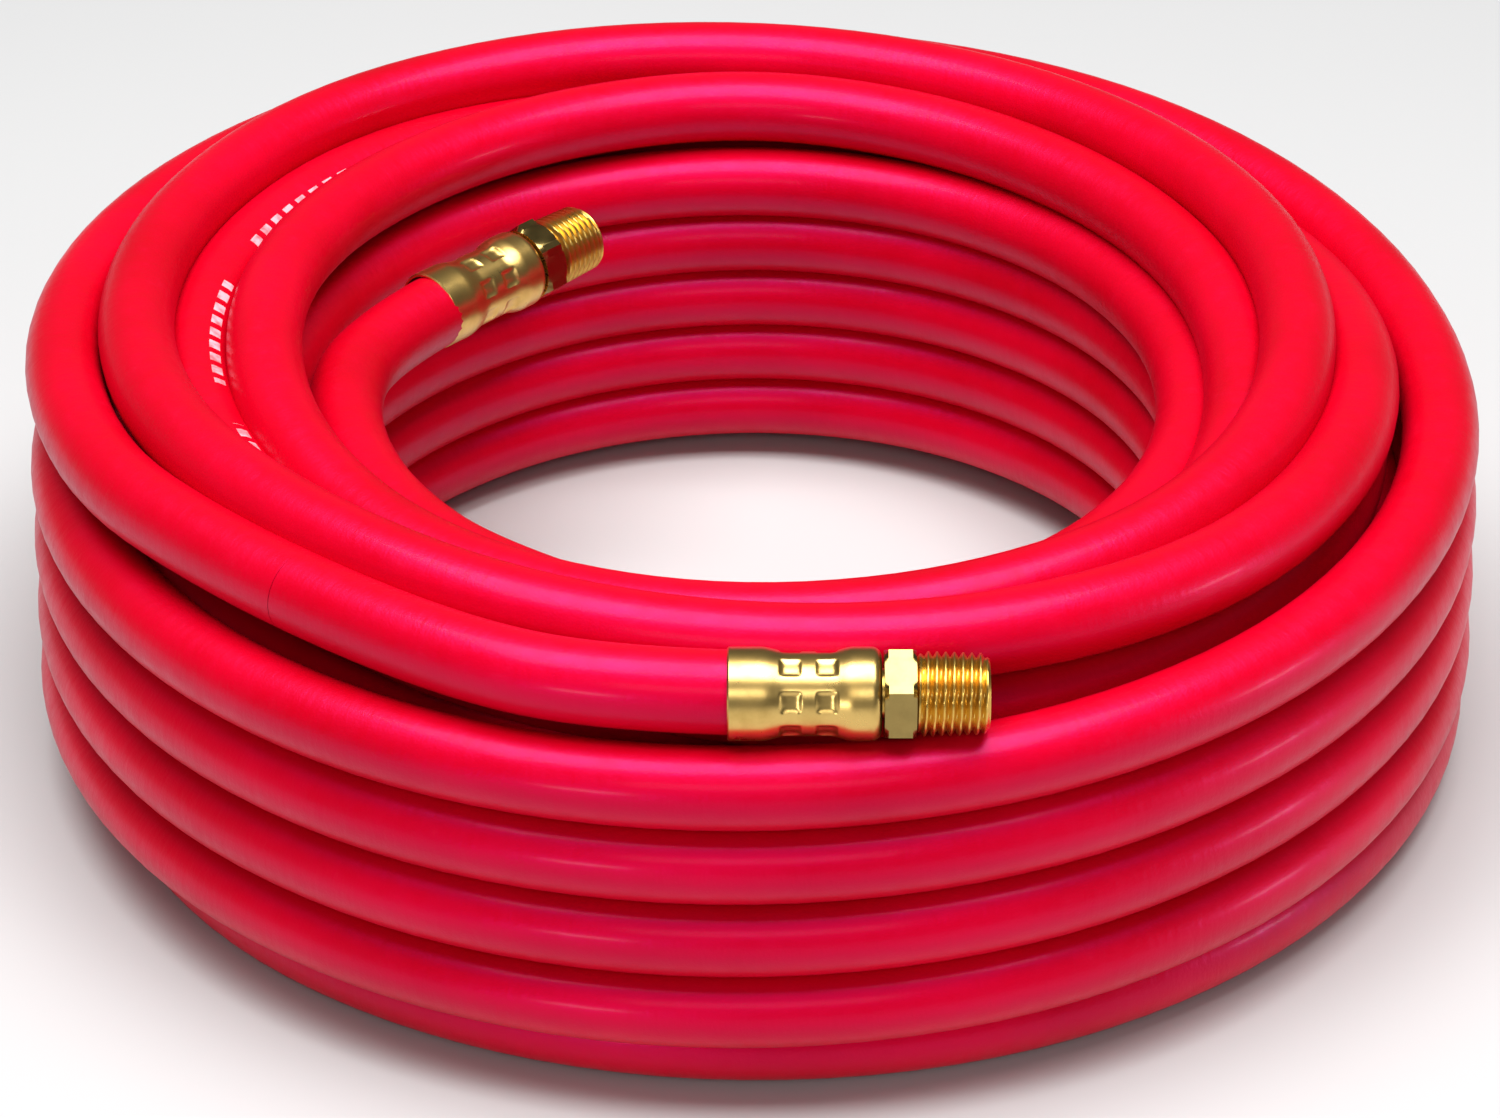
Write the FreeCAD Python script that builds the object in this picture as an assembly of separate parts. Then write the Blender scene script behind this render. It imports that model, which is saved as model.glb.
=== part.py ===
"""Coiled rubber air hose with a crimped brass male fitting on each end.

Millimetres. +Z is up and the coil lies flat. The origin is the middle of the coil, on the surface it
rests on. The wound turns are one ring solid. The two free ends are modelled as they are built: a
rubber cover, a textile reinforcement and a rubber liner, gripped between a barbed stem and a crimped
ferrule.
"""
import FreeCAD, Part
import math
import os
from FreeCAD import Vector

# hose
HOSE_R = 7.0                  # outside of the rubber cover
BRAID_R = 5.2                 # outside of the textile reinforcement
LINER_R = 4.5                 # outside of the liner
BORE_R = 3.175                # 1/4 inch inside diameter

# wound coil, rows counted from the floor
ROW_PITCH = 2 * HOSE_R
OUTER_ROW_R = [124.8, 128.5, 128.2, 127.6, 126.1, 124.7]
INNER_ROW_R = [88.5, 90.0, 93.0, 94.0, 94.0, 93.0]
TOP_MIDDLE_R = [103.5, 114.0]
VALLEY_DEPTH = 4.0            # depth of the groove between two neighbouring turns

# free ends, from the coil to where the hose stops inside its ferrule
OUTER_ROUTE = [(-80.5, -96.1, 77.0), (-51.7, -114.1, 77.0), (-19.0, -123.5, 77.0), (14.6, -123.5, 77.0)]
INNER_ROUTE = [(-14.0, -83.4, 70.0), (-44.8, -69.0, 68.0), (-67.1, -43.3, 66.0), (-75.9, -10.5, 65.0),
               (-72.0, 21.3, 64.0), (-49.3, 46.6, 64.0)]
ARC_SHARE = 0.45              # part of the shorter run that an arc takes up
JOINT_GAP = 0.3               # between the coil and a free end that bends away from it
LEAD_IN = 34.0                # hose from the inner end's joint into the coil

# room that the turns leave round the free ends
CLEAR_R, CLEAR_TOP = 150.0, 120.0        # past the outside and above the top of the whole coil
CHANNEL_INNER_R = 115.8
CHANNEL_FROM_DEG, CHANNEL_TO_DEG = 231.5, 300.0
CHANNEL_RIGHT, CHANNEL_LEFT = 30.0, 8.2  # room on each side of the outer end's first run
CHANNEL_SHORT = 20.0                     # the first run's room stops before the run does
SLOT_RUNS = 3                            # runs of the inner end that lie under other turns
SLOT_SIDE, SLOT_BELOW, SLOT_LEFT = 0.8, 2.0, 40.0
SLOT_BEHIND, SLOT_OVERLAP, SLOT_BEYOND = 0.5, 3.0, 6.0
SLOT_TOP = 60.0               # height of the room above each run

# fitting, measured along its axis from the ferrule's mouth
HOSE_INSERT = 18.3            # how far the hose goes into the ferrule
FERRULE_LENGTH = 25.0
FERRULE_R = 7.65
WAIST_R = 6.6
WAIST_HOSE_R = 5.9            # the cover where the crimp squeezes it
WAIST_BRAID_R = 4.95
WAIST_LINER_R = 4.45
WAIST_FROM, WAIST_TO = 8.8, 17.6
WAIST_RAMP = 1.4
FERRULE_LIP_R = 4.3
FERRULE_LIP_FROM = 22.4
FERRULE_ROUND = 1.6
SHOULDER_STEPS = 3
DIMPLES_ROUND = 7
DIMPLE_STATIONS = [10.6, 15.8]
DIMPLE_LENGTH, DIMPLE_WIDTH, DIMPLE_DEPTH = 3.3, 3.0, 0.35
POCKET_HEIGHT = 2.0
STEM_BORE_R = 2.3
STEM_NOSE_AT = 2.0
BARB_R, BARB_ROOT_R = 3.9, 3.5
BARB_PITCH = 3.2
BARB_RISE = 0.85              # share of the pitch over which a barb widens
BARBS = 5
STEM_NECK_R = 4.2
NECK_BEVEL = 0.2
INSIDE_HEX = 1.0              # how far the shank, the thread and the air way run on past the face they meet
HEX_FROM = 25.4
HEX_ACROSS_FLATS = 14.3
HEX_THICKNESS = 5.2
HEX_CHAMFER = 0.9
HEX_BEVEL_SLOPE = 0.55
THREAD_PITCH = 25.4 / 18      # 1/4-18 taper pipe thread
THREAD_LENGTH = 11.9
THREAD_TIP_R = 6.6
THREAD_DEPTH = 0.95
THREAD_TAPER = 1.0 / 32       # growth of the radius along the axis
THREAD_RUNOUT = 0.7           # plain neck between the hexagon and the first thread
CREST_HALF = 0.08
SEAT_R = 3.9                  # mouth of the conical seat at the thread's tip
SEAT_SLOPE = 1.7              # axial depth of the seat for each unit of its radius
OUTER_ROLL, INNER_ROLL = 27.4, 20.0      # how far each fitting is turned about its own axis, in degrees


def save(name, shape):
    shape.exportStep(os.path.join("parts", name + ".step"))
    box = shape.BoundBox
    print("%-24s volume %10.1f  solids %d  valid %s  box %.1f %.1f %.1f" % (
        name, shape.Volume, len(shape.Solids), shape.isValid(), box.XLength, box.YLength, box.ZLength))


def unit(vector):
    return vector * (1.0 / vector.Length)


def revolved(points):
    """Solid made by turning a closed (axial, radius) outline round the X axis."""
    loop = [Vector(x, r, 0) for x, r in points]
    face = Part.Face(Part.makePolygon(loop + loop[:1]))
    return face.revolve(Vector(0, 0, 0), Vector(1, 0, 0), 360)


# ---------------------------------------------------------------- free hose

def rounded_path(route, name):
    """Straight runs joined by tangent arcs, up to the ferrule's mouth."""
    points = [Vector(*p) for p in route]
    runs = [(b - a).Length for a, b in zip(points, points[1:])]
    points[0] = points[0] + unit(points[1] - points[0]) * JOINT_GAP
    edges = []
    start = points[0]
    for i in range(1, len(points) - 1):
        back, ahead = unit(points[i - 1] - points[i]), unit(points[i + 1] - points[i])
        half_turn = (math.pi - back.getAngle(ahead)) / 2
        tangent = ARC_SHARE * min(runs[i - 1], runs[i])
        radius = tangent / math.tan(half_turn)
        print("%s bend %d: turn %.1f deg, radius %.1f mm" % (name, i, math.degrees(2 * half_turn), radius))
        arc_from, arc_to = points[i] + back * tangent, points[i] + ahead * tangent
        to_centre = unit(back + ahead)
        middle = points[i] + to_centre * (radius / math.cos(half_turn) - radius)
        edges.append(Part.LineSegment(start, arc_from).toShape())
        edges.append(Part.Arc(arc_from, middle, arc_to).toShape())
        start = arc_to
    mouth = points[-1] - unit(points[-1] - points[-2]) * HOSE_INSERT
    edges.append(Part.LineSegment(start, mouth).toShape())
    return Part.Wire(edges)


def swept(path, radius):
    first = path.Edges[0]
    circle = Part.Circle(first.valueAt(first.FirstParameter), first.tangentAt(first.FirstParameter), radius)
    tube = path.makePipeShell([Part.Wire([circle.toShape()])], True, True)
    ideal = math.pi * radius ** 2 * path.Length
    print("  tube radius %.2f: volume / (section x length) = %.4f" % (radius, tube.Volume / ideal))
    return tube


def squeezed_outline(free_r, waist_r):
    """(axial, radius) line of a layer boundary through the crimp, from the mouth to the hose's end."""
    end_share = (HOSE_INSERT - WAIST_TO) / WAIST_RAMP
    return [(0.0, free_r), (WAIST_FROM - WAIST_RAMP, free_r), (WAIST_FROM, waist_r), (WAIST_TO, waist_r),
            (HOSE_INSERT, waist_r + (free_r - waist_r) * end_share)]


def barb_outline():
    """(axial, radius) line of the stem's barbs, which is also the liner's bore over them."""
    line = [(STEM_NOSE_AT, BORE_R)]
    for i in range(BARBS):
        x = STEM_NOSE_AT + i * BARB_PITCH
        line += [(x + BARB_RISE * BARB_PITCH, BARB_R), (x + BARB_PITCH, BARB_ROOT_R)]
    return line + [(HOSE_INSERT, BARB_ROOT_R)]


def hose_layers(route, name, place):
    path = rounded_path(route, name)
    tubes = [swept(path, r) for r in (HOSE_R, BRAID_R, LINER_R, BORE_R)]
    lines = [squeezed_outline(HOSE_R, WAIST_HOSE_R), squeezed_outline(BRAID_R, WAIST_BRAID_R),
             squeezed_outline(LINER_R, WAIST_LINER_R), [(0.0, BORE_R)] + barb_outline()]
    for i, layer in enumerate(("cover", "reinforcement", "liner")):
        end = placed(revolved(lines[i] + lines[i + 1][::-1]), place)
        whole = tubes[i].cut(tubes[i + 1]).fuse(end).removeSplitter()
        save("%s_%s" % (name, layer), whole)


# ---------------------------------------------------------------- fittings

def rounded_shoulder(hex_side):
    """(axial, radius) points round the ferrule's closed end."""
    points = []
    for i in range(1, SHOULDER_STEPS + 1):
        angle = math.pi / 2 * i / SHOULDER_STEPS
        points.append((hex_side - FERRULE_ROUND * (1 - math.sin(angle)),
                       FERRULE_R - FERRULE_ROUND * (1 - math.cos(angle))))
    return points


def ferrule():
    """Thin brass sleeve, crimped to a waist, with a pair of dimples end to end at each place around it."""
    hex_side = FERRULE_LENGTH
    outside = [(0.0, FERRULE_R), (WAIST_FROM - WAIST_RAMP, FERRULE_R), (WAIST_FROM, WAIST_R),
               (WAIST_TO, WAIST_R), (WAIST_TO + WAIST_RAMP, FERRULE_R),
               (hex_side - FERRULE_ROUND, FERRULE_R)] + rounded_shoulder(hex_side)
    inside = squeezed_outline(HOSE_R, WAIST_HOSE_R) + [
        (WAIST_TO + WAIST_RAMP, HOSE_R), (FERRULE_LIP_FROM, HOSE_R),
        (FERRULE_LIP_FROM, FERRULE_LIP_R), (hex_side, FERRULE_LIP_R)]
    sleeve = revolved(outside + inside[::-1])
    pocket = Part.makeBox(DIMPLE_LENGTH, DIMPLE_WIDTH, POCKET_HEIGHT)
    for i in range(DIMPLES_ROUND):
        for station in DIMPLE_STATIONS:
            tool = pocket.copy()
            tool.translate(Vector(station - DIMPLE_LENGTH / 2, -DIMPLE_WIDTH / 2, WAIST_R - DIMPLE_DEPTH))
            tool.rotate(Vector(0, 0, 0), Vector(1, 0, 0), (i + 0.5) * 360.0 / DIMPLES_ROUND)
            sleeve = sleeve.cut(tool)
    return sleeve


def hexagon():
    corner = HEX_ACROSS_FLATS / math.sqrt(3)
    ring = [Vector(HEX_FROM, corner * math.cos(math.radians(a)), corner * math.sin(math.radians(a)))
            for a in range(30, 390, 60)]
    prism = Part.Face(Part.makePolygon(ring + ring[:1])).extrude(Vector(HEX_THICKNESS, 0, 0))
    hex_to = HEX_FROM + HEX_THICKNESS
    bevel = HEX_CHAMFER * HEX_BEVEL_SLOPE
    crown = revolved([(HEX_FROM, 0.0), (HEX_FROM, corner - HEX_CHAMFER), (HEX_FROM + bevel, corner),
                      (hex_to - bevel, corner), (hex_to, corner - HEX_CHAMFER), (hex_to, 0.0)])
    return prism.common(crown)


def thread_outline():
    """(axial, radius) line of the taper thread's crests and roots, from the hex to the tip."""
    start = HEX_FROM + HEX_THICKNESS
    tip = start + THREAD_LENGTH
    line = [(start, THREAD_TIP_R - THREAD_DEPTH), (start + THREAD_RUNOUT, THREAD_TIP_R - THREAD_DEPTH)]
    x = start + THREAD_RUNOUT + THREAD_PITCH / 2
    while x < tip - THREAD_PITCH / 2:
        crest = THREAD_TIP_R + (tip - x) * THREAD_TAPER
        root = (x + THREAD_PITCH / 2, crest - THREAD_DEPTH)
        line += [(x - CREST_HALF, crest), (x + CREST_HALF, crest), root]
        x += THREAD_PITCH
    return line + [(tip, THREAD_TIP_R - THREAD_DEPTH)]


def stem():
    """One turned piece: barbs in the hose, hexagon, taper thread, and the air way through it."""
    tip = HEX_FROM + HEX_THICKNESS + THREAD_LENGTH
    shank_to = HEX_FROM + INSIDE_HEX
    outside = barb_outline() + [(FERRULE_LIP_FROM - NECK_BEVEL, BARB_ROOT_R), (FERRULE_LIP_FROM, STEM_NECK_R),
                                (shank_to, STEM_NECK_R)]
    shank = revolved([(STEM_NOSE_AT, 0.0)] + outside + [(shank_to, 0.0)])
    thread_root = HEX_FROM + HEX_THICKNESS - INSIDE_HEX
    threaded = revolved([(thread_root, 0.0), (thread_root, THREAD_TIP_R - THREAD_DEPTH)]
                        + thread_outline() + [(tip, 0.0)])
    seat_from = tip - (SEAT_R - STEM_BORE_R) * SEAT_SLOPE
    air_way = revolved([(0.0, 0.0), (0.0, STEM_BORE_R), (seat_from, STEM_BORE_R),
                        (tip, SEAT_R), (tip + INSIDE_HEX, SEAT_R), (tip + INSIDE_HEX, 0.0)])
    return shank.fuse(hexagon()).fuse(threaded).cut(air_way).removeSplitter()


def fitting_place(route, roll):
    """Placement that carries the fitting's X axis from the ferrule's mouth along the route's last run."""
    end, before = Vector(*route[-1]), Vector(*route[-2])
    along = unit(end - before)
    mouth = end - along * HOSE_INSERT
    turn = FreeCAD.Rotation(Vector(1, 0, 0), along).multiply(FreeCAD.Rotation(Vector(1, 0, 0), roll))
    return FreeCAD.Placement(mouth, turn)


def placed(shape, place):
    moved = shape.copy()
    moved.Placement = place
    return moved


# ---------------------------------------------------------------- wound coil

def ring_outline():
    """Closed (radius, height) outline of the turns: grooved sides and top, flat underneath."""
    heights = [HOSE_R + i * ROW_PITCH for i in range(len(OUTER_ROW_R))]
    outward, upward, inward = Vector(1, 0, 0), Vector(0, 0, 1), Vector(-1, 0, 0)
    turns = [(Vector(r, 0, z), outward) for r, z in zip(OUTER_ROW_R, heights)]
    turns += [(Vector(r, 0, heights[-1]), upward) for r in sorted(TOP_MIDDLE_R, reverse=True)]
    turns += [(Vector(r, 0, z), inward) for r, z in zip(INNER_ROW_R[::-1], heights[::-1])]
    corners = {len(OUTER_ROW_R) - 1: outward + upward, len(turns) - len(INNER_ROW_R): inward + upward}
    valley = HOSE_R - VALLEY_DEPTH
    foot = Vector(OUTER_ROW_R[0] + valley, 0, 0)
    start = foot
    lines = []
    for i, (centre, facing) in enumerate(turns):
        crest = centre + unit(corners.get(i, facing)) * HOSE_R
        if i + 1 < len(turns):
            after, after_facing = turns[i + 1]
            end = (centre + after) / 2 + unit(facing + after_facing) * valley
        else:
            end = Vector(INNER_ROW_R[0] - valley, 0, 0)
        lines.append(Part.Arc(start, crest, end).toShape())
        start = end
    lines.append(Part.LineSegment(start, foot).toShape())
    return Part.Wire(lines)


def box_along(start, after, behind, beyond, left, right, floor_z):
    """Tall box round one run of a route, from a little behind its first point to beyond its second.

    Left and right are how far it reaches on each side of the run, looking along it.
    """
    heading = math.degrees(math.atan2(after[1] - start[1], after[0] - start[0]))
    length = behind + math.hypot(after[0] - start[0], after[1] - start[1]) + beyond
    box = Part.makeBox(length, left + right, SLOT_TOP, Vector(-behind, -right, 0))
    box.rotate(Vector(0, 0, 0), Vector(0, 0, 1), heading)
    box.translate(Vector(start[0], start[1], floor_z))
    return box


def outer_channel():
    """Room on the top outer edge for the outer end and its fitting."""
    floor_z = OUTER_ROUTE[0][2] - HEX_ACROSS_FLATS / math.sqrt(3) - JOINT_GAP
    corners = [Vector(CHANNEL_INNER_R, 0, floor_z), Vector(CLEAR_R, 0, floor_z), Vector(CLEAR_R, 0, CLEAR_TOP),
               Vector(CHANNEL_INNER_R, 0, CLEAR_TOP)]
    face = Part.Face(Part.makePolygon(corners + corners[:1]))
    sector = face.revolve(Vector(0, 0, 0), Vector(0, 0, 1), CHANNEL_TO_DEG - CHANNEL_FROM_DEG)
    sector.rotate(Vector(0, 0, 0), Vector(0, 0, 1), CHANNEL_FROM_DEG)
    start, after = OUTER_ROUTE[:2]
    return sector.fuse(box_along(start, after, 0.0, -CHANNEL_SHORT, CHANNEL_LEFT, CHANNEL_RIGHT, floor_z))


def inner_slot():
    """Room above the inner end, so that it can be lifted straight out of the coil's eye."""
    boxes = []
    for i in range(SLOT_RUNS):
        start, after = INNER_ROUTE[i], INNER_ROUTE[i + 1]
        behind = SLOT_OVERLAP if i else SLOT_BEHIND
        floor_z = after[2] - HOSE_R - SLOT_BELOW
        boxes.append(box_along(start, after, behind, SLOT_BEYOND, HOSE_R + SLOT_SIDE, SLOT_LEFT, floor_z))
    return boxes[0].multiFuse(boxes[1:])


def lead_in():
    """The inner end's hose where it leaves the wound turns."""
    start, after = Vector(*INNER_ROUTE[0]), Vector(*INNER_ROUTE[1])
    return Part.makeCylinder(HOSE_R, LEAD_IN, start, unit(start - after))


def hose_coil():
    ring = Part.Face(ring_outline()).revolve(Vector(0, 0, 0), Vector(0, 0, 1), 360)
    return ring.cut(outer_channel()).fuse(lead_in()).cut(inner_slot()).removeSplitter()


def main():
    os.makedirs("parts", exist_ok=True)
    save("hose_coil", hose_coil())
    sleeve, turned = ferrule(), stem()
    ends = (("outer_end", OUTER_ROUTE, OUTER_ROLL), ("inner_end", INNER_ROUTE, INNER_ROLL))
    for name, route, roll in ends:
        place = fitting_place(route, roll)
        hose_layers(route, name, place)
        save("%s_ferrule" % name, placed(sleeve, place))
        save("%s_stem" % name, placed(turned, place))


main()
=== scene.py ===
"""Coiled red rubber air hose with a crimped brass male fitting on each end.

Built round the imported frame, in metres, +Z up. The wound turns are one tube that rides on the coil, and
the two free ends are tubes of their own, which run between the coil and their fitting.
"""
import math

import bpy
import numpy as np
from mathutils import Matrix, Vector


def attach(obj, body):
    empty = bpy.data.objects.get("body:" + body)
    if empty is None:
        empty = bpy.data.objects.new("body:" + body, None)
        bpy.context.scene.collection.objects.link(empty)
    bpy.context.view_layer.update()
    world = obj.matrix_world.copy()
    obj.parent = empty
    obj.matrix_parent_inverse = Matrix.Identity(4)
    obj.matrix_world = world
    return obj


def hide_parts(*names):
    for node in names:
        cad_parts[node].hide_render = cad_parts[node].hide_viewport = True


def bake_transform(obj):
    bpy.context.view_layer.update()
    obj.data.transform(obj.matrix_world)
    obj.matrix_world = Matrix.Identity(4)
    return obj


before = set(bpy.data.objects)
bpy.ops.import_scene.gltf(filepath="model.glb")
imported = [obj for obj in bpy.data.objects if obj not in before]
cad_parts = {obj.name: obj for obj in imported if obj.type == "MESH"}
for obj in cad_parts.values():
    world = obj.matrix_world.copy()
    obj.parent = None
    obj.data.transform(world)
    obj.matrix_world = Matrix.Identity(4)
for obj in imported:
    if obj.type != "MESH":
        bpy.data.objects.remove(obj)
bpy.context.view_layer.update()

# ---------------------------------------------------------------- dimensions

MM = 0.001

# hose
HOSE_R = 7.0
HOSE_SIDES = 28
HOSE_INSERT = 18.3                      # how far the hose goes into its ferrule
OUTER_LEAD, INNER_LEAD = 20.0, 9.0      # straight hose in the coil, in line with a free end
COIL_RESOLUTION, END_RESOLUTION = 7, 24     # points of a smooth line to each of its control points
HOSE_SHARP_ANGLE, BRASS_SHARP_ANGLE = math.radians(60), math.radians(32)

# the free ends, from the coil to where the hose stops inside its ferrule, in millimetres
OUTER_ROUTE = [(-76.0, -91.5, 77.0), (-52.0, -111.5, 77.0), (-19.0, -123.5, 77.0), (14.6, -123.5, 77.0)]
INNER_ROUTE = [(-13.5, -81.5, 62.0), (-43.5, -68.5, 63.5), (-66.0, -42.5, 64.5), (-76.5, -9.5, 65.0),
               (-72.0, 21.3, 64.0), (-49.3, 46.6, 64.0)]

# layers of turns that lie on one another, in the order that they are wound. Each has the turns wound at its
# start and end, counted from the right of the coil, and its radius and height there in millimetres. Then
# come how far its middle lies to the right and to the back of the coil's, and how far it is pressed in at
# its sides and out at its front and back.
INNER_LEAD_IN = ((-0.25, 0.4), (89, 89), (58.5, 62), (-3, 2), 2.5)
INNER_LAYER = ((0.5, 4.5), (89, 90), (60, 8), (-3, 2), 2.5)
SECOND_LAYER = ((5.0, 8.7), (102, 101), (13, 57), (0, 0), 0)
THIRD_LAYER = ((12.0, 16.3), (112, 115), (55, 7), (0, 0), 0)
OUTER_LAYER = ((17.0, 21.0), (129, 127), (9, 66), (1, -1.5), 0.8)

# the hose wanders over the top from the second layer to the third: (radius, height) at equal angles
ROUTE_PLACES_PER_TURN = 8
TOP_FROM = 9.0
TOP_ROUTE = [
    (89, 71), (92, 75), (99, 77), (93, 77), (89, 79), (92, 70), (94, 71), (99, 73),
    (100, 80), (106, 80), (112, 81), (120, 80), (113, 80), (106, 81), (108, 77), (114, 75),
    (112, 73), (112, 66), (110, 67), (107, 74), (102, 73), (97, 71), (103, 61), (108, 58)]

# the last turn climbs from the outer layer to the top, where the outer end's straight lead begins
LAST_FROM = 21.125
LAST_ROUTE = [(124, 73), (125, 74), (131, 72), (127, 75), (120, 77), (120, 77)]
LAST_TURN = 21 + 202.5 / 360

# how the turns settle against one another
STEPS_PER_TURN = 16
HIDDEN_TURNS = [(5.0, 8.6), (12.1, 16.9)]   # turns wound since the inner end, where others cover them
HIDDEN_EASE, SHOWN_EASE = 0.01, 0.25        # how firmly a turn keeps to its places
HIDDEN_GIVE, SHOWN_GIVE = 1.0, 0.25         # how readily a turn gives way to another
CONTACT = 13.2                              # centre to centre of two turns that press on each other
PUSH, SMOOTHING = 0.9, 0.15
SETTLE_ROUNDS = 200
NEARLY_NOTHING = 1e-9                       # keeps a turn's distance from itself above zero

# fitting, measured along its axis from the ferrule's mouth
LATHE_SIDES = 168
FERRULE_LENGTH = 25.0
FERRULE_R = 7.65
FERRULE_WALL = 0.6
FERRULE_ROUND = 1.6
FERRULE_STEP, INSIDE_STEP = 0.2, 1.0    # between rings, outside and inside
INSIDE_FROM, INSIDE_TO = 20.0, 1.0
ROUND_STEP = 15                         # degrees between the shoulder's rings
MOUTH_ROUND = 0.25
LIP_R, LIP_FROM = 4.3, 22.4
WAIST_DEPTH = 0.80
WAIST_IN, WAIST_OUT = (5.2, 10.0), (16.4, 20.6)
SQUEEZED_HOSE_R, HOSE_WAIST_IN = 5.85, (3.2, 9.0)
DIMPLES_ROUND = 7
DIMPLE_STATIONS = [10.2, 16.1]
DIMPLE_HALF_LENGTH, DIMPLE_HALF_WIDTH, DIMPLE_DEPTH = 1.85, 1.8, 0.42
DIMPLE_TURN = 29.7                      # from the hexagon's first corner to the first dimples, in degrees
NOSE_AT, BARBS, BARB_PITCH, BARB_RISE = 2.0, 5, 3.2, 0.85
BARB_R, BARB_ROOT_R = 3.9, 3.5
NECK_R, BORE_R = 4.2, 2.3
HEX_FROM, HEX_THICKNESS, HEX_ACROSS_FLATS = 25.4, 5.2, 14.3
HEX_CHAMFER, HEX_BEVEL = 1.05, 0.65
HEX_SIDE_ANGLE = 60
THREAD_PITCH = 25.4 / 18
THREAD_LENGTH, THREAD_TIP_R, THREAD_DEPTH, THREAD_TAPER = 11.9, 6.6, 0.95, 1 / 32
THREAD_STEPS = 10                       # rings to each pitch of the thread
THREAD_FLANK = 2.5                      # height gained along one pitch of flank, in thread depths
THREAD_FROM, THREAD_TO = 0.3, 0.1       # plain lengths beside the hexagon and at the tip
THREAD_FADE_IN, THREAD_FADE_OUT = 1.2, 0.9
SEAT_R, SEAT_DEPTH = 3.9, 2.7
OUTER_ROLL, INNER_ROLL = 27.4, 20.0     # how far each fitting is turned about its own axis, in degrees


# ---------------------------------------------------------------- the winding

def out_of_round(turn, middle, stretch):
    """What a layer's shape adds to its radius, at a place counted in turns."""
    azimuth = 2 * math.pi * turn
    shift = middle[0] * math.cos(azimuth) + middle[1] * math.sin(azimuth)
    return shift - stretch * math.cos(2 * azimuth)


def layer_places(turns, radii, heights, middle, stretch):
    """(turn, radius, height) of one layer, wound evenly from its start to its end."""
    steps = round((turns[1] - turns[0]) * STEPS_PER_TURN)
    for share in np.linspace(0, 1, steps + 1):
        turn, radius, height = (a + (b - a) * share for a, b in (turns, radii, heights))
        yield turn, radius + out_of_round(turn, middle, stretch), height


def route_places(start, route):
    for i, (radius, height) in enumerate(route):
        yield start + i / ROUTE_PLACES_PER_TURN, radius, height


def wound_places():
    """Azimuths in degrees and (radius, height) of the winding, STEPS_PER_TURN to a turn."""
    places = []
    for layer in (INNER_LEAD_IN, INNER_LAYER, SECOND_LAYER):
        places += layer_places(*layer)
    places += route_places(TOP_FROM, TOP_ROUTE)
    for layer in (THIRD_LAYER, OUTER_LAYER):
        places += layer_places(*layer)
    places += route_places(LAST_FROM, LAST_ROUTE)
    turns, radii, heights = np.array(places).T
    steps = np.arange(turns[0], LAST_TURN + 0.5 / STEPS_PER_TURN, 1 / STEPS_PER_TURN)
    return 360 * steps, np.stack([np.interp(steps, turns, radii), np.interp(steps, turns, heights)], 1)


def settled(places):
    """Places after turns that overlap have pushed apart, on the floor or above it, along a smooth hose."""
    turn = np.arange(len(places)) / STEPS_PER_TURN
    hidden = np.zeros(len(places), bool)
    for start, end in HIDDEN_TURNS:
        hidden |= (turn > start) & (turn < end)
    ease = np.where(hidden, HIDDEN_EASE, SHOWN_EASE)[:, None]
    mobile = np.where(hidden, HIDDEN_GIVE, SHOWN_GIVE)
    at = places.copy()
    for _ in range(SETTLE_ROUNDS):
        for plane in range(STEPS_PER_TURN):
            members = np.arange(plane, len(at), STEPS_PER_TURN)
            gap = at[members][:, None] - at[members][None]
            distance = np.hypot(gap[..., 0], gap[..., 1]) + NEARLY_NOTHING
            push = np.clip(CONTACT - distance, 0, None)
            np.fill_diagonal(push, 0)
            share = mobile[members][:, None] / (mobile[members][:, None] + mobile[members][None])
            at[members] += PUSH * ((share * push / distance)[..., None] * gap).sum(1)
        at[:, 1] = np.maximum(at[:, 1], HOSE_R)
        middle = at.copy()
        middle[1:-1] = (at[:-2] + at[2:]) / 2
        at += SMOOTHING * (middle - at)
        at += ease * (places - at)
    return at


def metres(points):
    return [Vector(p) * MM for p in points]


def beyond(end, after, distance):
    """A point on the line from after through end, past end."""
    return end + (end - after).normalized() * distance


def winding_points():
    """Control points of the wound turns' spline, in metres, from the inner end to the outer end."""
    azimuths, places = wound_places()
    outside = 1 / math.cos(math.pi / STEPS_PER_TURN)     # the spline runs inside its control points
    points = []
    for azimuth, (radius, height) in zip(np.radians(azimuths), settled(places)):
        reach = radius * outside
        points.append((reach * math.cos(azimuth), reach * math.sin(azimuth), height))
    inner, outer = metres(INNER_ROUTE), metres(OUTER_ROUTE)
    head = [inner[0], beyond(inner[0], inner[1], INNER_LEAD * MM)]
    tail = [beyond(outer[0], outer[1], OUTER_LEAD * MM), outer[0]]
    return head + metres(points[1:]) + tail


# ---------------------------------------------------------------- mesh tubes

def spline_line(points, resolution):
    """Points read from the smooth NURBS spline that has these control points."""
    curve = bpy.data.curves.new("line", "CURVE")
    curve.dimensions = "3D"
    curve.resolution_u = resolution
    spline = curve.splines.new("NURBS")
    spline.points.add(len(points) - 1)
    for slot, point in zip(spline.points, points):
        slot.co = (*point, 1.0)
    spline.order_u = 3
    spline.use_endpoint_u = True
    holder = bpy.data.objects.new("line", curve)
    bpy.context.scene.collection.objects.link(holder)
    bpy.context.view_layer.update()
    evaluated = holder.evaluated_get(bpy.context.evaluated_depsgraph_get())
    line_mesh = bpy.data.meshes.new_from_object(evaluated)
    line = [v.co.copy() for v in line_mesh.vertices]
    bpy.data.objects.remove(holder)
    bpy.data.curves.remove(curve)
    bpy.data.meshes.remove(line_mesh)
    return line


def tangents(line):
    ahead = line[1:] + [line[-1]]
    behind = [line[0]] + line[:-1]
    return [(a - b).normalized() for a, b in zip(ahead, behind)]


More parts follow.
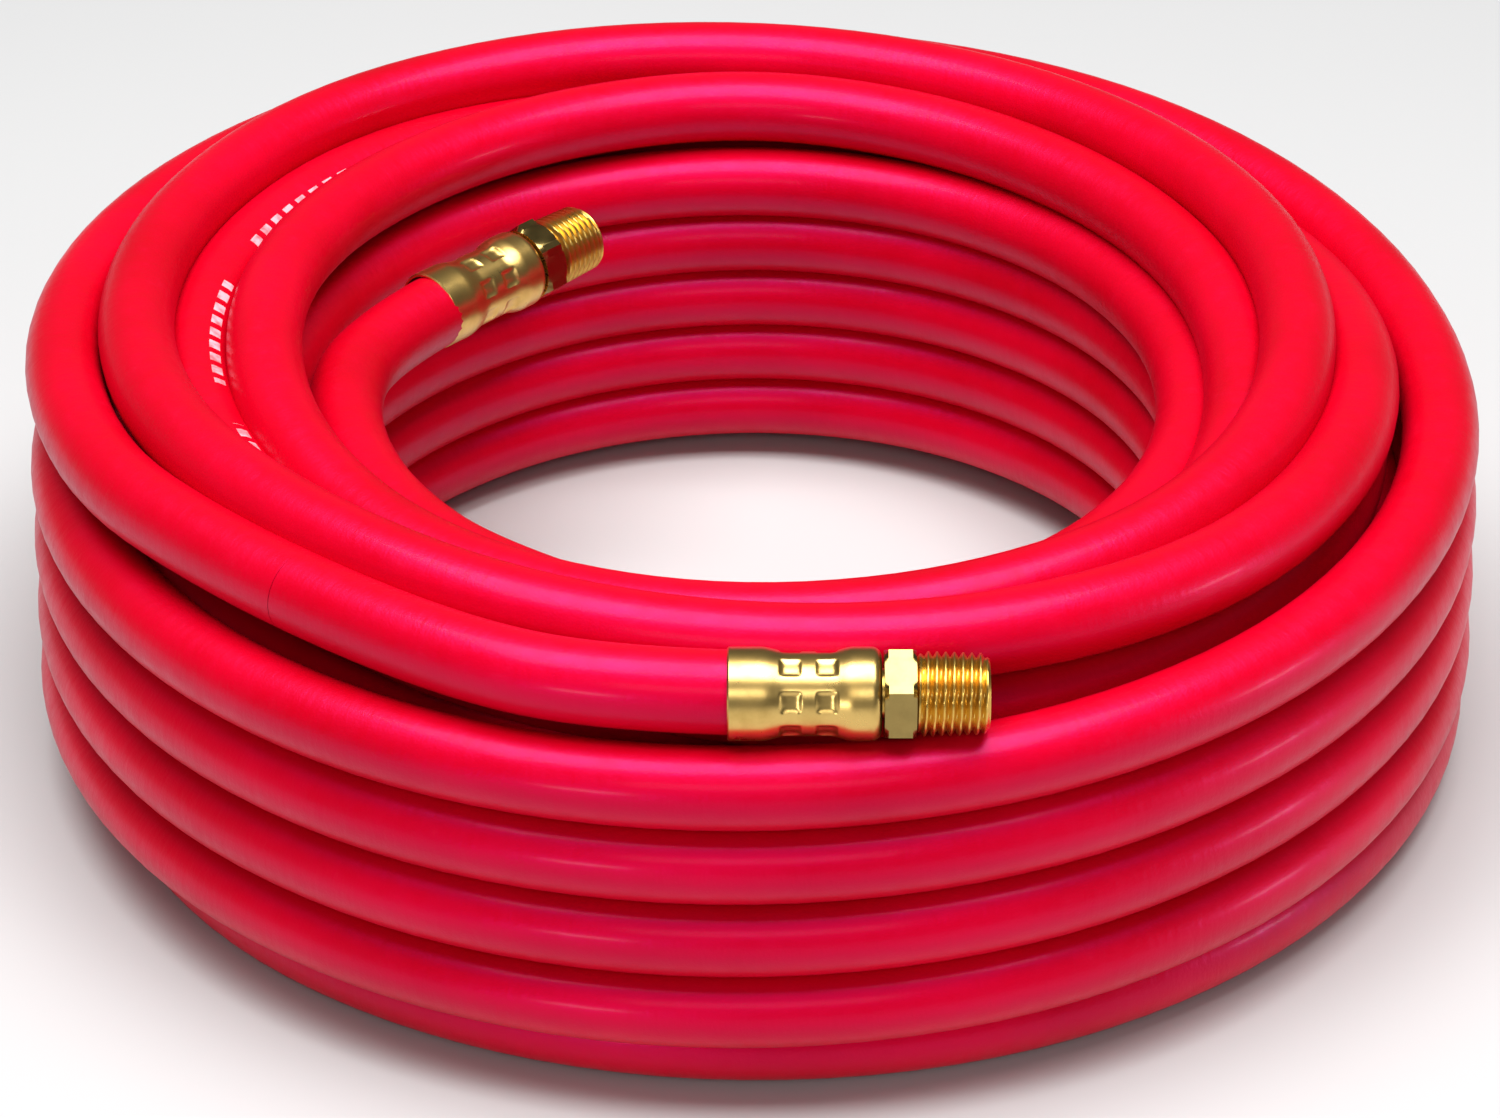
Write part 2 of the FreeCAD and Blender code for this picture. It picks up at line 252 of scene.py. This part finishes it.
def distances(line):
    """How far along the line each of its points is."""
    steps = [(b - a).length for a, b in zip(line, line[1:])]
    return np.concatenate([[0.0], np.cumsum(steps)])


def new_object(name, vertices, faces):
    mesh = bpy.data.meshes.new(name)
    mesh.from_pydata([tuple(v) for v in vertices], [], faces)
    mesh.validate()
    mesh.polygons.foreach_set("use_smooth", [True] * len(mesh.polygons))
    obj = bpy.data.objects.new(name, mesh)
    bpy.context.scene.collection.objects.link(obj)
    return obj


def ring_faces(rings, sides, closed):
    """Quads between neighbouring rings of vertices, and from the last ring to the first if closed."""
    faces = []
    for i in range(rings if closed else rings - 1):
        here, after = i * sides, (i + 1) % rings * sides
        for k in range(sides):
            beside = (k + 1) % sides
            faces.append((here + k, here + beside, after + beside, after + k))
    return faces


def tube(name, line, radii, along_from, direction, capped):
    """Hose along a line. Its material reads each point's place in the straightened hose.

    Direction is 1 where the line runs on towards the outer end, or -1 where it runs back. The cap closes
    the line's last point.
    """
    vertices, straightened = [], []
    for point, heading, radius, along in zip(line, tangents(line), radii, distances(line)):
        side = Vector((0, 0, 1)).cross(heading).normalized()
        up = heading.cross(side)
        for k in range(HOSE_SIDES):
            angle = -2 * math.pi * k / HOSE_SIDES
            vertices.append(point + (up * math.cos(angle) + side * math.sin(angle)) * radius)
            straightened += [along_from + direction * along, math.cos(angle) * HOSE_R * MM,
                             direction * math.sin(angle) * HOSE_R * MM]
    faces = ring_faces(len(line), HOSE_SIDES, False)
    if capped:
        last = (len(line) - 1) * HOSE_SIDES
        faces.append(tuple(range(last, last + HOSE_SIDES)))
    obj = new_object(name, vertices, faces)
    obj.data.set_sharp_from_angle(angle=HOSE_SHARP_ANGLE)
    layer = obj.data.attributes.new("straightened", "FLOAT_VECTOR", "POINT")
    layer.data.foreach_set("vector", straightened)
    return obj


# ---------------------------------------------------------------- fittings

def lathe(name, rings, place):
    """Solid with a hole through it, from (axial, radius or radii) rings that run round its section."""
    angles = np.linspace(0, 2 * math.pi, LATHE_SIDES, endpoint=False)
    vertices = []
    for axial, radii in rings:
        for angle, radius in zip(angles, np.broadcast_to(radii, LATHE_SIDES)):
            point = Vector((axial, radius * math.cos(angle), radius * math.sin(angle)))
            vertices.append(place @ (point * MM))
    obj = new_object(name, vertices, ring_faces(len(rings), LATHE_SIDES, True))
    obj.data.set_sharp_from_angle(angle=BRASS_SHARP_ANGLE)
    return obj


def side_angles():
    """Degrees round the fitting's axis of each side of its mesh."""
    return np.linspace(0, 360, LATHE_SIDES, endpoint=False)


def smooth_step(value, start, end):
    share = min(max((value - start) / (end - start), 0.0), 1.0)
    return share * share * (3 - 2 * share)


def waist(axial):
    """Share of the crimp's full depth at a distance from the ferrule's mouth."""
    return smooth_step(axial, *WAIST_IN) * (1 - smooth_step(axial, *WAIST_OUT))


def dimples(axial):
    """Depth of the dimples at each side of the ferrule."""
    spacing = 360.0 / DIMPLES_ROUND
    off_centre = np.abs((side_angles() - DIMPLE_TURN + spacing / 2) % spacing - spacing / 2)
    across = np.radians(off_centre) * (FERRULE_R - WAIST_DEPTH) / DIMPLE_HALF_WIDTH
    round_share = np.clip(1 - across ** 4, 0, None)
    depth = 0.0
    for station in DIMPLE_STATIONS:
        length_share = max(1 - ((axial - station) / DIMPLE_HALF_LENGTH) ** 4, 0.0)
        depth = depth + DIMPLE_DEPTH * length_share * round_share
    return depth


def ferrule_rings():
    shoulder = FERRULE_LENGTH - FERRULE_ROUND
    rings = [(0.0, FERRULE_R - FERRULE_WALL), (0.0, FERRULE_R - MOUTH_ROUND), (MOUTH_ROUND, FERRULE_R)]
    for axial in np.arange(2 * FERRULE_STEP, shoulder, FERRULE_STEP):
        rings.append((axial, FERRULE_R - WAIST_DEPTH * waist(axial) - dimples(axial)))
    for angle in np.radians(np.arange(0, 90 + ROUND_STEP, ROUND_STEP)):
        rings.append((shoulder + FERRULE_ROUND * math.sin(angle),
                      FERRULE_R - FERRULE_ROUND * (1 - math.cos(angle))))
    rings += [(FERRULE_LENGTH, LIP_R), (LIP_FROM, LIP_R), (LIP_FROM, FERRULE_R - FERRULE_WALL)]
    for axial in np.arange(INSIDE_FROM, INSIDE_TO, -INSIDE_STEP):
        rings.append((axial, FERRULE_R - FERRULE_WALL - WAIST_DEPTH * waist(axial)))
    return rings


def hex_radii():
    off_middle = side_angles() % HEX_SIDE_ANGLE - HEX_SIDE_ANGLE / 2
    return HEX_ACROSS_FLATS / 2 / np.cos(np.radians(off_middle))


def thread_rings():
    """The taper thread is one helical groove, fading in at the hexagon and out at the tip."""
    start = HEX_FROM + HEX_THICKNESS
    core = THREAD_TIP_R - THREAD_DEPTH
    rings = []
    for axial in np.arange(THREAD_FROM, THREAD_LENGTH - THREAD_TO, THREAD_PITCH / THREAD_STEPS):
        phase = (axial / THREAD_PITCH + side_angles() / 360) % 1
        crest = np.clip(THREAD_FLANK * (0.5 - np.abs(phase - 0.5)), 0, 1)
        fade = min(axial / THREAD_FADE_IN, (THREAD_LENGTH - axial) / THREAD_FADE_OUT, 1.0)
        taper = (THREAD_LENGTH - axial) * THREAD_TAPER
        rings.append((start + axial, core + taper + THREAD_DEPTH * crest * fade))
    return rings


def stem_rings():
    rings = [(NOSE_AT, BORE_R), (NOSE_AT, BARB_ROOT_R)]
    for i in range(BARBS):
        start = NOSE_AT + i * BARB_PITCH
        rings += [(start + BARB_RISE * BARB_PITCH, BARB_R), (start + BARB_PITCH, BARB_ROOT_R)]
    hex_to = HEX_FROM + HEX_THICKNESS
    tip = hex_to + THREAD_LENGTH
    flats = hex_radii()
    turned = np.minimum(flats, flats.max() - HEX_CHAMFER)
    rings += [(LIP_FROM, BARB_ROOT_R), (LIP_FROM, NECK_R), (HEX_FROM, NECK_R), (HEX_FROM, turned),
              (HEX_FROM + HEX_BEVEL, flats), (hex_to - HEX_BEVEL, flats), (hex_to, turned),
              (hex_to, THREAD_TIP_R - THREAD_DEPTH)]
    rings += thread_rings()
    rings += [(tip, THREAD_TIP_R - THREAD_DEPTH), (tip, SEAT_R), (tip - SEAT_DEPTH, BORE_R)]
    return rings


def fitting_place(route, roll):
    """Matrix that carries the fitting's X axis from the ferrule's mouth along the route's last run."""
    along = (route[-1] - route[-2]).normalized()
    turn = Vector((1, 0, 0)).rotation_difference(along).to_matrix().to_4x4()
    return Matrix.Translation(route[-1] - along * HOSE_INSERT * MM) @ turn @ Matrix.Rotation(roll, 4, "X")


# ---------------------------------------------------------------- materials

# white ink: metres along the hose where it isn't worn off, and how its line twists round the hose
PRINT_FROM, PRINT_LENGTH = 5.35, 2.0
PRINT_ANGLE, PRINT_TWIST = math.radians(-52), math.radians(-150)
PRINT_HALF_ANGLE = 0.16
DASH_PITCH, DASH_SHARE = 0.0048, 0.6
GROUP_PITCH, GROUP_SHARE = 0.055, 0.72
PRINT_STRENGTH, WORN_STRENGTH = 0.62, 0.217

# colours as red, green, blue and alpha
RED, DEEP_RED, DUSTY_RED = (0.64, 0.0, 0.013, 1), (0.52, 0.0, 0.005, 1), (0.70, 0.02, 0.06, 1)
INK = (0.95, 0.75, 0.85, 1)
SPECULAR_PINK = (1.0, 0.04, 0.60, 1)

# each brass: its bright colour, its tarnished colour, its roughness and how much its scratches show
SLEEVE_BRASS = ((0.70, 0.47, 0.15, 1), (0.50, 0.31, 0.08, 1), 0.27, 0.3)
STEM_BRASS = ((0.72, 0.46, 0.11, 1), (0.46, 0.27, 0.06, 1), 0.26, 0.6)
HEXAGON_BRASS = ((0.34, 0.24, 0.08, 1), (0.22, 0.15, 0.05, 1), 0.20, 0.3)

# how many times a metre each kind of unevenness varies
BLOTCHES, DUST, INK_WEAR, RIPPLES, GRAIN = 22.0, 260.0, 420.0, 620.0, 2200.0
TARNISH, SCRATCHES = 160.0, 2600.0


def node_material(name):
    material = bpy.data.materials.new(name)
    material.use_nodes = True
    tree = material.node_tree
    return material, tree, tree.nodes["Principled BSDF"]


def node(tree, kind, links=(), **settings):
    """New node with its plain settings and its inputs, each a value or another node's socket."""
    made = tree.nodes.new(kind)
    for key, value in settings.items():
        setattr(made, key, value)
    for key, value in links:
        if isinstance(value, bpy.types.NodeSocket):
            tree.links.new(value, made.inputs[key])
        else:
            made.inputs[key].default_value = value
    return made


def maths(tree, operation, *values):
    return node(tree, "ShaderNodeMath", list(enumerate(values)), operation=operation).outputs[0]


def noise(tree, where, scale, detail=3.0, roughness=0.5):
    made = node(tree, "ShaderNodeTexNoise", [("Vector", where), ("Scale", scale), ("Detail", detail),
                                             ("Roughness", roughness)])
    return made.outputs["Fac"]


def spread(tree, value, low, high, to_low, to_high):
    """Value from low to high carried to the range to_low to to_high, and kept inside it."""
    made = node(tree, "ShaderNodeMapRange", [("Value", value), ("From Min", low), ("From Max", high),
                                             ("To Min", to_low), ("To Max", to_high)])
    return made.outputs["Result"]


def mixed(tree, share, colour, other):
    """Colour that turns from one to the other as share goes from 0 to 1."""
    made = node(tree, "ShaderNodeMix", [("Factor", share)], data_type="RGBA")
    for socket, value in ((made.inputs[6], colour), (made.inputs[7], other)):
        if isinstance(value, bpy.types.NodeSocket):
            tree.links.new(value, socket)
        else:
            socket.default_value = value
    return made.outputs[2]


def below(tree, value, limit):
    return maths(tree, "LESS_THAN", value, limit)


def repeated(tree, along, pitch, share):
    """1 over the first share of every pitch."""
    return below(tree, maths(tree, "FRACT", maths(tree, "DIVIDE", along, pitch)), share)


def printed_dashes(tree, straightened):
    """Share of white ink: groups of plain dashes on a line that twists slowly round the hose."""
    parts = node(tree, "ShaderNodeSeparateXYZ", [("Vector", straightened)])
    along = maths(tree, "SUBTRACT", parts.outputs["X"], PRINT_FROM)
    angle = maths(tree, "ARCTAN2", parts.outputs["Z"], parts.outputs["Y"])
    line = maths(tree, "MULTIPLY_ADD", along, PRINT_TWIST, PRINT_ANGLE)
    off_line = maths(tree, "WRAP", maths(tree, "SUBTRACT", angle, line), math.pi, -math.pi)
    masks = [below(tree, maths(tree, "ABSOLUTE", off_line), PRINT_HALF_ANGLE),
             repeated(tree, along, DASH_PITCH, DASH_SHARE),
             repeated(tree, along, GROUP_PITCH, GROUP_SHARE),
             below(tree, maths(tree, "ABSOLUTE", maths(tree, "SUBTRACT", along, PRINT_LENGTH / 2)),
                   PRINT_LENGTH / 2)]
    ink = spread(tree, noise(tree, straightened, INK_WEAR), 0.35, 0.6, WORN_STRENGTH, PRINT_STRENGTH)
    for mask in masks:
        ink = maths(tree, "MULTIPLY", ink, mask)
    return ink


def rubber_material():
    material, tree, shader = node_material("red_rubber")
    straightened = node(tree, "ShaderNodeAttribute", attribute_name="straightened").outputs["Vector"]
    blotches = noise(tree, straightened, BLOTCHES, 4.0)
    dust = noise(tree, straightened, DUST, 5.0, 0.7)
    red = mixed(tree, spread(tree, blotches, 0.35, 0.7, 0.0, 1.0), RED, DEEP_RED)
    red = mixed(tree, spread(tree, dust, 0.62, 0.85, 0.0, 0.12), red, DUSTY_RED)
    red = mixed(tree, printed_dashes(tree, straightened), red, INK)
    tree.links.new(red, shader.inputs["Base Color"])
    tree.links.new(spread(tree, dust, 0.3, 0.75, 0.34, 0.50), shader.inputs["Roughness"])
    shader.inputs["Specular IOR Level"].default_value = 0.7
    shader.inputs["Specular Tint"].default_value = SPECULAR_PINK
    shader.inputs["Coat Weight"].default_value = 0.06
    shader.inputs["Coat Roughness"].default_value = 0.16
    stretched = node(tree, "ShaderNodeMapping", [("Vector", straightened), ("Scale", (1.0, 0.3, 0.3))])
    ripples = noise(tree, stretched.outputs["Vector"], RIPPLES, 3.0)
    grain = noise(tree, straightened, GRAIN, 2.0)
    height = maths(tree, "MULTIPLY_ADD", grain, 0.35, ripples)
    bump = node(tree, "ShaderNodeBump", [("Height", height), ("Strength", 0.45), ("Distance", 0.00022)])
    tree.links.new(bump.outputs["Normal"], shader.inputs["Normal"])
    return material


def brass_material(name, bright, dull, roughness, fine):
    """Brass with patches of tarnish, and scratches that show more the higher fine is."""
    material, tree, shader = node_material(name)
    where = node(tree, "ShaderNodeTexCoord").outputs["Object"]
    tarnish = noise(tree, where, TARNISH, 5.0, 0.65)
    scratches = noise(tree, where, SCRATCHES, 3.0)
    colour = mixed(tree, spread(tree, tarnish, 0.45, 0.75, 0.0, 0.7), bright, dull)
    tree.links.new(colour, shader.inputs["Base Color"])
    shader.inputs["Metallic"].default_value = 1.0
    tree.links.new(spread(tree, tarnish, 0.35, 0.7, roughness, roughness + 0.08), shader.inputs["Roughness"])
    height = maths(tree, "MULTIPLY_ADD", scratches, fine, tarnish)
    bump = node(tree, "ShaderNodeBump", [("Height", height), ("Strength", 0.10), ("Distance", 0.0002)])
    tree.links.new(bump.outputs["Normal"], shader.inputs["Normal"])
    return material


# ---------------------------------------------------------------- the studio

# each light's name, place, size (width, height) and power
LIGHTS = [("sky", (0.0, -0.10, 1.15), (1.2, 0.8), 26.0),
          ("front", (0.0, -1.1, 0.75), (0.8, 0.30), 2.5),
          ("left", (-0.50, -1.15, 0.16), (0.22, 0.10), 1.8),
          ("right", (1.15, -0.30, 0.16), (0.22, 0.10), 1.8)]
AIM = Vector((0, 0, 0.04))
FLOOR_REACH, FLOOR_GREY = 3, 0.56


def studio():
    corners = [(x * FLOOR_REACH, y * FLOOR_REACH, 0) for x, y in ((-1, -1), (1, -1), (1, 1), (-1, 1))]
    floor = new_object("floor", corners, [(0, 1, 2, 3)])
    material, tree, shader = node_material("pale_floor")
    shader.inputs["Base Color"].default_value = (FLOOR_GREY, FLOOR_GREY, FLOOR_GREY, 1)
    shader.inputs["Roughness"].default_value = 0.9
    floor.data.materials.append(material)
    world = bpy.data.worlds.new("studio")
    bpy.context.scene.world = world
    world.use_nodes = True
    background = world.node_tree.nodes["Background"]
    background.inputs["Color"].default_value = (1, 1, 1, 1)
    background.inputs["Strength"].default_value = 0.10
    for name, place, (width, height), power in LIGHTS:
        light = bpy.data.lights.new(name, "AREA")
        light.shape = "RECTANGLE"
        light.size, light.size_y = width, height
        light.energy = power
        lamp = bpy.data.objects.new(name, light)
        lamp.location = place
        lamp.rotation_mode = "QUATERNION"
        lamp.rotation_quaternion = (AIM - Vector(place)).to_track_quat("-Z", "Y")
        bpy.context.scene.collection.objects.link(lamp)
    bpy.context.scene.view_settings.view_transform = "Standard"


def camera():
    elevation, distance = math.radians(31), 0.865
    target = Vector((0, -0.0195, 0.040))
    view = bpy.data.cameras.new("camera")
    view.sensor_width = 36.0
    view.lens = 112.1
    holder = bpy.data.objects.new("camera", view)
    holder.location = target + Vector((0, -math.cos(elevation), math.sin(elevation))) * distance
    holder.rotation_euler = (math.pi / 2 - elevation, 0, 0)
    bpy.context.scene.collection.objects.link(holder)
    bpy.context.scene.camera = holder


# ---------------------------------------------------------------- the object

def finish_piece(piece, material, slot, *nodes):
    piece.data.materials.append(material)
    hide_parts(*nodes)


def wound_hose(rubber):
    """The wound turns. Returns their length in metres."""
    line = spline_line(winding_points(), COIL_RESOLUTION)
    coil = tube("wound_hose", line, [HOSE_R * MM] * len(line), 0.0, 1, False)
    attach(coil, "coil")
    finish_piece(coil, rubber, "hose_rubber", "hose_coil")
    length = distances(line)[-1]
    return length


def dull_hexagon(stem, place, material):
    """The hexagon's faces are duller than the thread, which is newly cut."""
    stem.data.materials.append(material)
    along = place.inverted()
    for face in stem.data.polygons:
        axial = (along @ face.center).x / MM
        if HEX_FROM <= axial <= HEX_FROM + HEX_THICKNESS:
            face.material_index = 1


def fitting(name, route, roll, sleeve_brass, stem_brass, hex_brass):
    place = fitting_place(route, math.radians(roll))
    ferrule = lathe(name + "_ferrule_sleeve", ferrule_rings(), place)
    finish_piece(ferrule, sleeve_brass, "ferrule_brass", name + "_ferrule")
    stem = lathe(name + "_threaded_stem", stem_rings(), place)
    finish_piece(stem, stem_brass, "stem_brass", name + "_stem")
    dull_hexagon(stem, place, hex_brass)
    for piece in (ferrule, stem):
        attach(piece, name)
    return [ferrule, stem]


def hose_in_ferrule(distance):
    """The hose's radius at a distance past the ferrule's mouth, in millimetres."""
    return HOSE_R - (HOSE_R - SQUEEZED_HOSE_R) * smooth_step(distance, *HOSE_WAIST_IN)


def free_end(name, route, along_from, direction, rubber):
    line = spline_line(route, END_RESOLUTION)
    along = distances(line)
    mouth = along[-1] - HOSE_INSERT * MM
    radii = [hose_in_ferrule((a - mouth) / MM) * MM for a in along]
    end = tube(name + "_hose", line, radii, along_from, direction, True)
    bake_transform(end)
    finish_piece(end, rubber, "hose_rubber", name + "_cover", name + "_reinforcement", name + "_liner")


def main():
    studio()
    camera()
    rubber = rubber_material()
    sleeve_brass = brass_material("ferrule_brass", *SLEEVE_BRASS)
    stem_brass = brass_material("stem_brass", *STEM_BRASS)
    hex_brass = brass_material("hexagon_brass", *HEXAGON_BRASS)
    length = wound_hose(rubber)
    ends = (("outer_end", metres(OUTER_ROUTE), OUTER_ROLL, length, 1),
            ("inner_end", metres(INNER_ROUTE), INNER_ROLL, 0.0, -1))
    for name, route, roll, along_from, direction in ends:
        pieces = fitting(name, route, roll, sleeve_brass, stem_brass, hex_brass)
        free_end(name, route, along_from, direction, rubber)


main()
